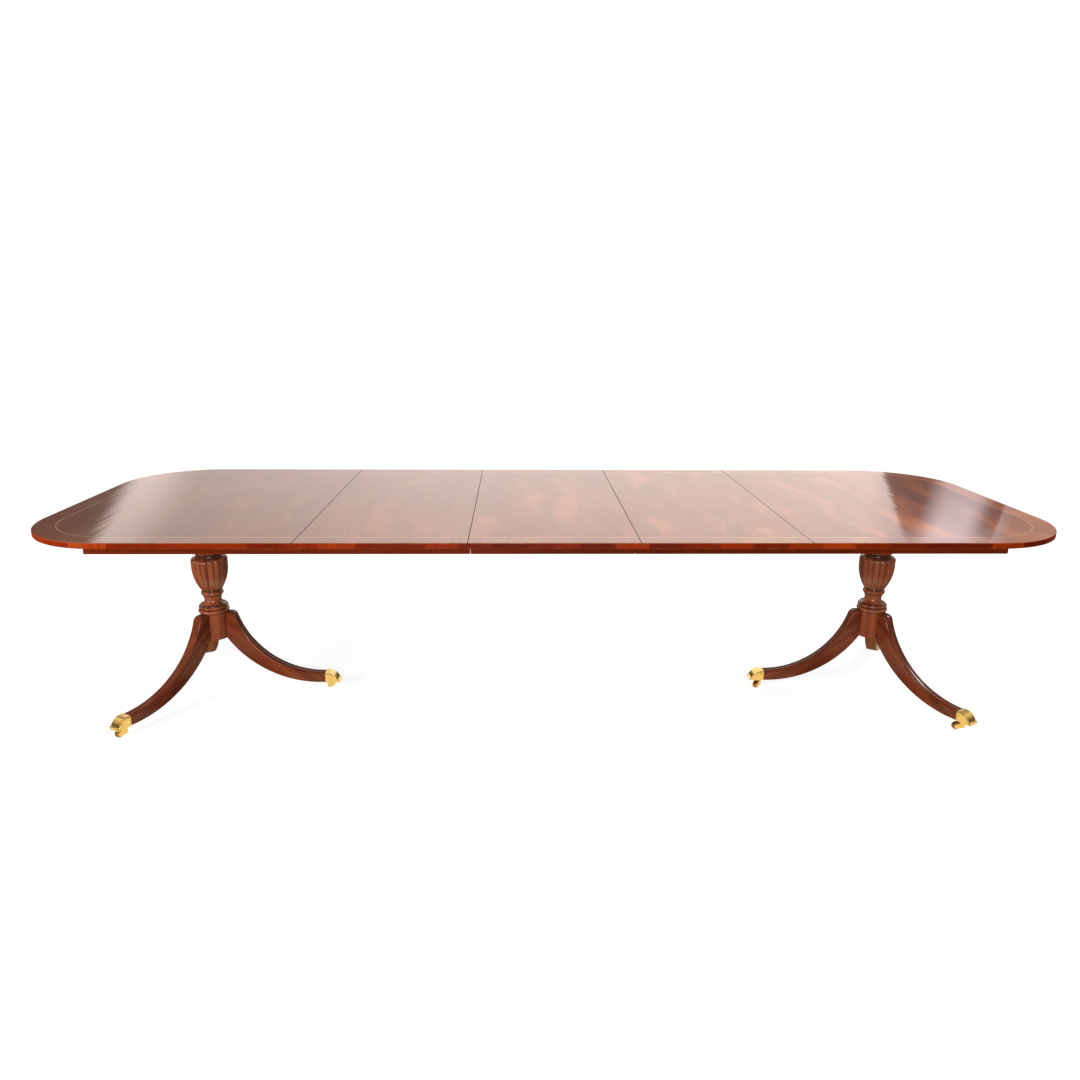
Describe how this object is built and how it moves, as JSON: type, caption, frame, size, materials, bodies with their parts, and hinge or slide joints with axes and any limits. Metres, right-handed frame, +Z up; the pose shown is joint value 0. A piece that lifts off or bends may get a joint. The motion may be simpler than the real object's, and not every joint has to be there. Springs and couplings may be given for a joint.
{
  "type": "double pedestal dining table",
  "caption": "Long extending dining table with rounded ends and drop-in leaves on reeded urn pedestals with sabre legs, brass toe caps and swivel casters.",
  "frame": {"origin": "on the floor, under the middle of the opened top", "axes": "+X along the table to the right, +Y to the back, +Z up"},
  "size_m": [3.29, 1.168, 0.737],
  "materials": {
    "mahogany_veneer": "polished flame mahogany",
    "mahogany": "polished mahogany",
    "hardwood": "plain waxed hardwood",
    "brass": "polished",
    "iron_plate": "blackened",
    "steel_screw": "plain",
    "caster_wheel": "dulled, worn at the tread"
  },
  "bodies": {
    "right_half": {"right_end_top": "mahogany_veneer", "right_front_apron": "mahogany", "right_back_apron": "mahogany", "right_end_apron": "mahogany", "right_corner_blocks": "hardwood", "right_bearer_block": "hardwood", "right_column": "mahogany", "right_hub_plate": "iron_plate", "right_front_leg": "mahogany", "right_inner_leg": "mahogany", "right_back_leg": "mahogany", "right_front_toe_cap": "brass", "right_inner_toe_cap": "brass", "right_back_toe_cap": "brass", "right_front_slide": "hardwood", "right_back_slide": "hardwood", "right_wood_screws": "steel_screw", "right_cap_screws": "brass"},
    "left_half": {"left_end_top": "mahogany_veneer", "left_front_apron": "mahogany", "left_back_apron": "mahogany", "left_end_apron": "mahogany", "left_corner_blocks": "hardwood", "left_bearer_block": "hardwood", "left_column": "mahogany", "left_hub_plate": "iron_plate", "left_front_leg": "mahogany", "left_inner_leg": "mahogany", "left_back_leg": "mahogany", "left_front_toe_cap": "brass", "left_inner_toe_cap": "brass", "left_back_toe_cap": "brass", "left_front_slide": "hardwood", "left_back_slide": "hardwood", "left_wood_screws": "steel_screw", "left_cap_screws": "brass"},
    "left_leaf": {"left_leaf_panel": "mahogany_veneer", "left_leaf_front_apron": "mahogany", "left_leaf_back_apron": "mahogany"},
    "middle_leaf": {"middle_leaf_panel": "mahogany_veneer", "middle_leaf_front_apron": "mahogany", "middle_leaf_back_apron": "mahogany"},
    "right_leaf": {"right_leaf_panel": "mahogany_veneer", "right_leaf_front_apron": "mahogany", "right_leaf_back_apron": "mahogany"},
    "centre_front_rail": {"centre_front_slide": "hardwood"},
    "centre_back_rail": {"centre_back_slide": "hardwood"},
    "left_front_caster": {"left_front_caster_fork": "brass"},
    "left_front_wheel": {"left_front_caster_wheel": "caster_wheel"},
    "left_inner_caster": {"left_inner_caster_fork": "brass"},
    "left_inner_wheel": {"left_inner_caster_wheel": "caster_wheel"},
    "left_back_caster": {"left_back_caster_fork": "brass"},
    "left_back_wheel": {"left_back_caster_wheel": "caster_wheel"},
    "right_front_caster": {"right_front_caster_fork": "brass"},
    "right_front_wheel": {"right_front_caster_wheel": "caster_wheel"},
    "right_inner_caster": {"right_inner_caster_fork": "brass"},
    "right_inner_wheel": {"right_inner_caster_wheel": "caster_wheel"},
    "right_back_caster": {"right_back_caster_fork": "brass"},
    "right_back_wheel": {"right_back_caster_wheel": "caster_wheel"}
  },
  "joints": [
    {"name": "extension_slide", "type": "slide", "parent": "right_half", "child": "left_half", "axis": [-1, 0, 0], "range_m": [0, 0.06]},
    {"name": "centre_front_rail_slide", "type": "slide", "parent": "right_half", "child": "centre_front_rail", "axis": [-1, 0, 0], "range_m": [0, 0.03]},
    {"name": "centre_back_rail_slide", "type": "slide", "parent": "right_half", "child": "centre_back_rail", "axis": [-1, 0, 0], "range_m": [0, 0.03]},
    {"name": "left_leaf_lift", "type": "slide", "parent": "right_half", "child": "left_leaf", "axis": [0, 0, 1], "range_m": [0, 0.25]},
    {"name": "middle_leaf_lift", "type": "slide", "parent": "right_half", "child": "middle_leaf", "axis": [0, 0, 1], "range_m": [0, 0.25]},
    {"name": "right_leaf_lift", "type": "slide", "parent": "right_half", "child": "right_leaf", "axis": [0, 0, 1], "range_m": [0, 0.25]},
    {"name": "left_front_swivel", "type": "hinge", "parent": "left_half", "child": "left_front_caster", "pos_m": [-1.4405, -0.35594, 0.0305], "axis": [0, 0, 1], "continuous": true},
    {"name": "left_front_wheel_spin", "type": "hinge", "parent": "left_front_caster", "child": "left_front_wheel", "pos_m": [-1.4515, -0.37499, 0.013], "axis": [0.866, -0.5, 0], "continuous": true},
    {"name": "left_inner_swivel", "type": "hinge", "parent": "left_half", "child": "left_inner_caster", "pos_m": [-0.824, 0, 0.0305], "axis": [0, 0, 1], "continuous": true},
    {"name": "left_inner_wheel_spin", "type": "hinge", "parent": "left_inner_caster", "child": "left_inner_wheel", "pos_m": [-0.82018, 0.02167, 0.013], "axis": [-0.9848, 0.1736, 0], "continuous": true},
    {"name": "left_back_swivel", "type": "hinge", "parent": "left_half", "child": "left_back_caster", "pos_m": [-1.4405, 0.35594, 0.0305], "axis": [0, 0, 1], "continuous": true},
    {"name": "left_back_wheel_spin", "type": "hinge", "parent": "left_back_caster", "child": "left_back_wheel", "pos_m": [-1.45955, 0.36694, 0.013], "axis": [-0.5, -0.866, 0], "continuous": true},
    {"name": "right_front_swivel", "type": "hinge", "parent": "right_half", "child": "right_front_caster", "pos_m": [1.4405, -0.35594, 0.0305], "axis": [0, 0, 1], "continuous": true},
    {"name": "right_front_wheel_spin", "type": "hinge", "parent": "right_front_caster", "child": "right_front_wheel", "pos_m": [1.4185, -0.35594, 0.013], "axis": [0, -1, 0], "continuous": true},
    {"name": "right_inner_swivel", "type": "hinge", "parent": "right_half", "child": "right_inner_caster", "pos_m": [0.824, 0, 0.0305], "axis": [0, 0, 1], "continuous": true},
    {"name": "right_inner_wheel_spin", "type": "hinge", "parent": "right_inner_caster", "child": "right_inner_wheel", "pos_m": [0.80986, -0.01685, 0.013], "axis": [0.766, -0.6428, 0], "continuous": true},
    {"name": "right_back_swivel", "type": "hinge", "parent": "right_half", "child": "right_back_caster", "pos_m": [1.4405, 0.35594, 0.0305], "axis": [0, 0, 1], "continuous": true},
    {"name": "right_back_wheel_spin", "type": "hinge", "parent": "right_back_caster", "child": "right_back_wheel", "pos_m": [1.46117, 0.36346, 0.013], "axis": [-0.342, 0.9397, 0], "continuous": true}
  ],
  "couplings": [
    {"joint": "centre_front_rail_slide", "follows": "extension_slide", "ratio": 0.5},
    {"joint": "centre_back_rail_slide", "follows": "extension_slide", "ratio": 0.5}
  ]
}
